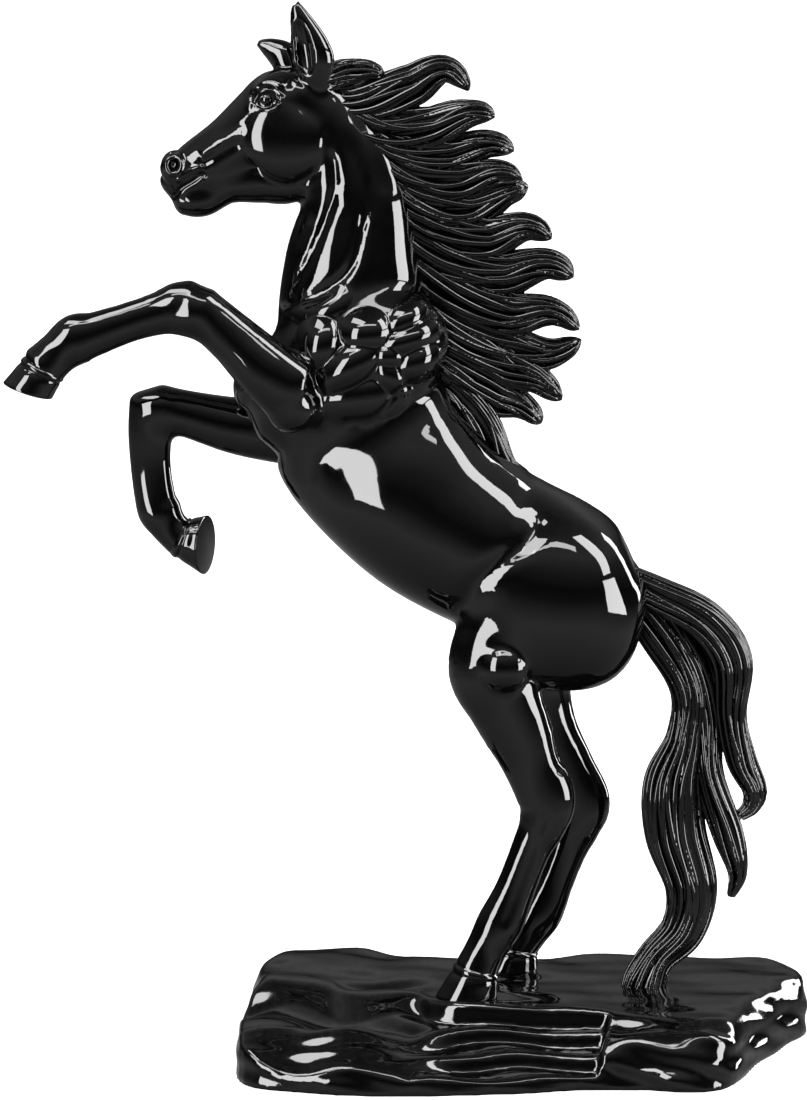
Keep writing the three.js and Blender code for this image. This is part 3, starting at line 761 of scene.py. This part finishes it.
def cast_strands(name, strands):
    """One closed mesh round all the strands, settled onto them and shaded by their exact slopes."""
    segments = []
    for strand in strands:
        rows = np.column_stack([strand, unit(np.gradient(strand[:, :3], axis=0))])
        segments.append(np.stack([rows[:-1], rows[1:]], axis=1))
    segments = np.vstack(segments)
    every = np.vstack(strands)
    reach = every[:, 3].max() + 3 * HAIR_STEP
    low = every[:, :3].min(axis=0) - reach
    counts = np.ceil((every[:, :3].max(axis=0) + reach - low) / HAIR_STEP).astype(int)
    field = np.full(counts, 3 * HAIR_STEP, np.float32)
    owner = np.zeros(counts, np.int32)
    for number, (start, end) in enumerate(segments):
        reach = max(start[3], end[3]) + 2 * HAIR_STEP
        first = np.floor((np.minimum(start, end)[:3] - reach - low) / HAIR_STEP).astype(int)
        last = np.ceil((np.maximum(start, end)[:3] + reach - low) / HAIR_STEP).astype(int) + 1
        window = tuple(slice(a, b) for a, b in zip(first, last))
        x, y, z = np.ogrid[window]
        x, y, z = [axis * HAIR_STEP + o for axis, o in zip((x, y, z), low - start[:3])]
        run = end[:3] - start[:3]
        t = np.clip((x * run[0] + y * run[1] + z * run[2]) / (run @ run), 0, 1)
        gap = np.sqrt((x - t * run[0])**2 + (y - t * run[1])**2 + (z - t * run[2])**2)
        gap = (gap - start[3] - (end[3] - start[3]) * t).astype(np.float32)
        owner[window] = np.where(gap < field[window], number, owner[window])
        np.minimum(field[window], gap, out=field[window])
    grid = openvdb.FloatGrid(3 * HAIR_STEP)
    grid.copyFromArray(field)
    points, quads = grid.convertToQuads(0.0)
    points, quads = np.array(points, float), np.array(quads)

    def own_segment(places):
        best, chosen = np.full(len(places), np.inf), np.zeros(len(places), int)
        for corner in np.ndindex(2, 2, 2):
            candidate = owner[tuple((places.astype(int) + corner).T)]
            gap = strand_skin(low + places * HAIR_STEP, segments[candidate])[1]
            closer = gap < best
            best[closer], chosen[closer] = gap[closer], candidate[closer]
        return segments[chosen]

    own, face_own = own_segment(points), own_segment(points[quads].mean(axis=1))
    points = low + points * HAIR_STEP
    for _ in range(2):
        out, gap = strand_skin(points, own)
        points = points - out * np.clip(gap, -1, 1)[:, None]
    piece = new_piece(name, in_metres(points), quads)
    only(piece)
    bpy.ops.object.shade_smooth()
    slopes = [strand_skin(points[quads[:, corner]], face_own)[0] for corner in range(4)]
    piece.data.normals_split_custom_set(np.stack(slopes, axis=1).reshape(-1, 3).tolist())
    return piece


locks = []
for number, lock in enumerate(MANE_LOCKS):
    locks.append(lock_strands(mane_path(*lock, 1 if number % 2 else -1), MANE_STRANDS, number))
upper_mane = cast_strands("upper_mane", sum(locks[:6], []))
lower_mane = cast_strands("lower_mane", sum(locks[6:], []))
HAIR_GLOSS = black_gloss("black_gloss_hair", 40, 0.05, 0.09, 0.05, 0.0001)
for piece in (upper_mane, lower_mane):
    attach(piece, "root")
    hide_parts("rearing_horse")
    piece.data.materials.append(HAIR_GLOSS)


# The tail: three locks of the same round strands, hanging clear of the hocks. The longest one swells,
# sweeps in under itself and runs into its socket in the rock, where it carries part of the weight.

# A lock's row is [x, z, y, half depth, half width]
TAIL_LOCKS = [
    [[199, 426, -3, 15, 12], [240, 407, -6, 18, 17], [291, 380, -8, 20, 20], [319, 340, -7, 20, 18],
     [320, 283, -6, 15, 15], [330, 236, -6, 15, 13], [344, 205, -6, 11.5, 10], [341, 187, -6, 9, 8],
     [331, 178, -6, 6, 6]],
    [[203, 420, 4, 17, 13], [244, 386, 6, 22, 18], [279, 338, 7, 20, 20], [293, 284, 6, 18, 17],
     [297, 222, 0, 15, 14], [317, 160, -5, 16.5, 12.5], [328, 118, -5, 10.5, 9], [322, 94, -5, 4.5, 4]],
    [[207, 416, 0, 18, 13], [247, 366, 0, 22.5, 19], [276, 310, 0, 18.5, 19], [274, 258, 0, 19.5, 19],
     [262, 210, 0, 29.5, 22], [265, 158, 0, 31, 22], [281, 102, 0, 26.5, 19], [274, 58, 0, 23, 16],
     [249, 28, 0, 19, 15], [238, 4, 0, 22, 17], [233, -14, 0, 22, 17]],
]
TAIL_STRANDS = [24, 24, 34]

strands = []
for number, rows in enumerate(TAIL_LOCKS):
    strands += lock_strands(smooth_rows(rows, 13), TAIL_STRANDS[number], 40 + number)
tail = cast_strands("tail", strands)
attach(tail, "root")
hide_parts("rearing_horse")
tail.data.materials.append(HAIR_GLOSS)


# The rock: one cast slab with a flat underside, its front broken into three long ledges that end in
# an upright step, its left side sloping away round a pool, and its right side lumpy. It is modelled
# as a distance field like the horse, so that its ledges and edges run crisp and smooth.
ROCK_STEP = 1.1  # size of the rock's faces, in millimetres like all its sizes
PLAN_MIDDLE = 0.115 * 360  # how far behind the withers the middle of its plan lies
HALF_LENGTH, HALF_DEPTH = 105.5, 57
ROCK_HEIGHT = 24
OUTLINE = [
    [-0.97, -0.8], [-1, -0.3], [-0.97, 0.12], [-0.95, 0.58], [-0.83, 0.91], [-0.57, 0.94],
    [-0.34, 0.68], [0, 0.65], [0.34, 0.8], [0.62, 0.72], [0.89, 0.62], [1, 0.28], [0.9, -0.08],
    [0.79, -0.45], [0.7, -0.84], [0.55, -0.95], [0.26, -0.9], [-0.06, -0.98], [-0.37, -1.02],
    [-0.68, -0.99],
]
# The outline is drawn in a little, so that the rough side stays within its solid's size
outline = smooth_rows([OUTLINE[-1]] + OUTLINE + OUTLINE[:2], 5)[5:-5]
outline = outline * [HALF_LENGTH * 0.992, HALF_DEPTH * 0.985] + [PLAN_MIDDLE, 0]
# Edges of the rock's ledges in plan, [x, y] in millimetres from left to right: the ground that the
# horse stands on, and the two shelves in front of it
GROUND_EDGE = [
    [-70, 4], [-52, 8], [-41, 8], [-30, 2], [-22, -6], [-4, -9], [3, -13], [8, -20], [20, -26],
    [50, -28], [68, -31], [85, -35], [98, -39], [109, -37], [118, -35], [126, -38], [150, -44],
]
MIDDLE_EDGE = [[-40, -36], [-4, -37], [10, -35], [24, -32], [46, -32.5], [70, -36]]
LOWER_EDGE = [[-40, -47], [-8, -49], [10, -45.5], [32, -43.5], [53, -44], [70, -46]]
# Hollows and swellings of the rock's top, [x, y, half length, half depth, height], the last three of
# them round the hooves and the tail's foot
BUMPS = [
    [-10, 0, 17, 5, -3.4], [1, -34, 5, 5, -1.5], [-24, -40, 22, 5, 2.8], [84, -45, 10, 6, 3.4],
    [-46, 24, 22, 12, 1.4], [106, -52, 8, 6, 2.8],
    [20, -16.5, 14, 9, 1.3], [36, 16, 14, 9, 1.3], [86, 0, 14, 9, 1.3],
]
TOP_LIMIT = 26.5


def step(t):
    """A smooth step from nought to one."""
    t = np.clip(t, 0, 1)
    return t * t * (3 - 2 * t)


def bump(x, y, x0, y0, half_x, half_y, height):
    return height * np.exp(-(((x - x0) / half_x) ** 2) - ((y - y0) / half_y) ** 2)


def ledge(gap, rise, soft):
    """A step down where gap grows past nought, with a lip along its edge."""
    return rise * step(gap / soft) - 0.7 * np.exp(-(((gap + 1.6) / 1.9) ** 2))


def ground(x, y, inside):
    """Height of the rock in millimetres, inside being the distance in from its outline."""
    edges = [smooth_rows(edge, 4).T for edge in (GROUND_EDGE, MIDDLE_EDGE, LOWER_EDGE)]
    q, middle, lower = [np.interp(x, *edge) - y for edge in edges]
    wave = 0.9 * np.sin(x / 12) + 0.5 * np.sin(x / 7.7 + 2)
    right = step((x - 68 - 0.22 * (y + 44)) / 3 + 0.5)
    left = step((18 - x) / 36)
    soft = 2 + 13 * left
    drop = ledge(q, 8, soft) + ledge(middle + 0.5 * wave, 5, soft) + ledge(lower + wave, 5, soft)
    lumps = 6 * step(q / 7) + 7 * step((q - 9) / 15)
    lumps = lumps + 1.3 * np.sin(x / 6.1 + 1) * np.sin(y / 4.3 + x / 17) * step(q / 4)
    height = ROCK_HEIGHT - drop * (1 - right) - lumps * right
    for place in BUMPS:
        height += bump(x, y, *place)
    height += 2.4 * left * np.sin((x + 0.5 * y) / 8.5) * np.sin((y - 0.3 * x) / 8)
    height += 0.8 * np.sin((x + 1.4 * y) / 9) * np.sin((x - y) / 14) + 0.5 * np.sin(x / 10 + y / 5)
    height += 0.2 * np.sin(y / 1.9 + 1.5 * np.sin(x / 22) + x / 30) * step((-q - 2) / 6)
    shoulder = 8 + 1.5 * np.sin(x / 19) + 17 * np.sqrt(1 - (1 - np.clip(inside / 9, 0, 1)) ** 2)
    share = np.clip(0.5 + 0.5 * (shoulder - height) / 4, 0, 1)
    return np.minimum(height * share + shoulder * (1 - share) - 4 * share * (1 - share), TOP_LIMIT)


def rock_distance(points):
    """Distance from the rock's skin, negative inside, for points in millimetres."""
    x, y, z = points.T
    at, gap = nearest(outline, x, y)
    crossings = np.zeros(len(x), bool)
    for (ax, ay), (bx, by) in zip(outline[:-1], outline[1:]):
        if ay != by:
            crossings ^= ((ay > y) != (by > y)) & (x < ax + (y - ay) * (bx - ax) / (by - ay))
    side = np.where(crossings, -1, 1) * np.sqrt(gap)
    rough = 0.4 + 0.3 * step((x - 60) / 12)
    side = side + rough * (np.sin(x / 5 + z / 3) * np.sin(y / 6 + z / 4) + 1)
    here = ground(x, y, -side)
    slope_x = ground(x + 0.3, y, -side) - here
    slope_y = ground(x, y + 0.3, -side) - here
    top = (z - here) / np.sqrt(1 + (slope_x**2 + slope_y**2) / 0.09)
    share = np.clip(0.5 + 0.5 * (top - side) / 2.5, 0, 1)
    return np.maximum(top * share + side * (1 - share) + 2.5 * share * (1 - share), 0.02 - z)


low = np.array([PLAN_MIDDLE - HALF_LENGTH - 4, -HALF_DEPTH - 5, -3])
high = np.array([PLAN_MIDDLE + HALF_LENGTH + 4, HALF_DEPTH + 5, 30])
points, quads = wrap(low, high, ROCK_STEP, rock_distance)
settled = settle(points, rock_distance)
settled[:, 2] = np.maximum(settled[:, 2], 0)
rock = new_piece("rock", WITHERS * [1, 1, 0] + settled / 1000, quads)
only(rock)
bpy.ops.object.shade_smooth()
shade_by_slope(rock, settled, rock_distance)
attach(rock, "root")
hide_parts("rock_base")
rock.data.materials.append(black_gloss("black_gloss_rock", 30, 0.045, 0.1, 0.06, 0.0004))


# The floor and the studio: a wide matt floor under an even white light, so that floor and background
# are one white. The black gloss doesn't mirror the floor. It mirrors a dim room and six soft boxes,
# each hung where its window shows on the horse.
bpy.ops.mesh.primitive_plane_add(size=30, location=(0, 0, 0))
floor = bpy.context.object
floor.name = "floor"
pale = bpy.data.materials.new("pale_floor")
pale.use_nodes = True
pale.node_tree.nodes["Principled BSDF"].inputs["Base Color"].default_value = (0.9, 0.9, 0.9, 1)
pale.node_tree.nodes["Principled BSDF"].inputs["Roughness"].default_value = 0.9
floor.data.materials.append(pale)
floor.visible_glossy = False
floor.visible_shadow = False

world = bpy.context.scene.world or bpy.data.worlds.new("studio")
bpy.context.scene.world = world
world.use_nodes = True
nodes, links = world.node_tree.nodes, world.node_tree.links
background = nodes["Background"]
# What the gloss mirrors: a dim room, darkest at eye level. The light itself is plain white all round.
room = nodes.new("ShaderNodeValToRGB")
tones = [(0.0, 0.15), (0.28, 0.5), (0.44, 0.06), (0.52, 0.02), (0.65, 0.16), (0.78, 0.45), (1.0, 0.1)]
for place, value in tones:
    if place in (0.0, 1.0):
        stop = room.color_ramp.elements[0 if place == 0 else -1]
    else:
        stop = room.color_ramp.elements.new(place)
    stop.position = place
    stop.color = (value, value, value, 1)
height = nodes.new("ShaderNodeMapRange")
height.inputs["From Min"].default_value = -1
place = nodes.new("ShaderNodeTexCoord")
axes = nodes.new("ShaderNodeSeparateXYZ")
links.new(place.outputs["Generated"], axes.inputs["Vector"])
links.new(axes.outputs["Z"], height.inputs["Value"])
links.new(height.outputs["Result"], room.inputs["Fac"])
path = nodes.new("ShaderNodeLightPath")
mix = nodes.new("ShaderNodeMix")
mix.data_type = "RGBA"
mix.inputs["A"].default_value = (1, 1, 1, 1)
links.new(path.outputs["Is Glossy Ray"], mix.inputs["Factor"])
links.new(room.outputs["Color"], mix.inputs["B"])
links.new(mix.outputs["Result"], background.inputs["Color"])

BOX_DISTANCE = 3.0
AIM = Vector((CAMERA_X, MIDDLE_Y, 0.2))


def soft_box(name, azimuth, elevation, wide, tall, brightness):
    """A soft box seen from the horse at an azimuth from the camera and an elevation, in degrees."""
    a, e = math.radians(azimuth), math.radians(elevation)
    direction = Vector((math.sin(a) * math.cos(e), -math.cos(a) * math.cos(e), math.sin(e)))
    bpy.ops.object.light_add(type="AREA", location=AIM + direction * BOX_DISTANCE)
    box = bpy.context.object
    box.name = name
    box.data.shape = "RECTANGLE"
    box.data.size = 2 * BOX_DISTANCE * math.tan(math.radians(wide / 2))
    box.data.size_y = 2 * BOX_DISTANCE * math.tan(math.radians(tall / 2))
    box.data.energy = brightness * math.pi * box.data.size * box.data.size_y
    box.rotation_euler = (-direction).to_track_quat("-Z", "Y").to_euler()
    box.visible_camera = False


soft_box("left box", -37, 8, 18, 46, 16)
soft_box("upper right box", 65, 34, 15, 40, 16)
soft_box("lower right box", 65, -2, 22, 24, 16)
soft_box("rear box", 118, 14, 12, 46, 16)
soft_box("top box", -42, 56, 36, 16, 14)
soft_box("front strip", 2, 47, 56, 6, 12)
bpy.context.scene.view_settings.view_transform = "Standard"
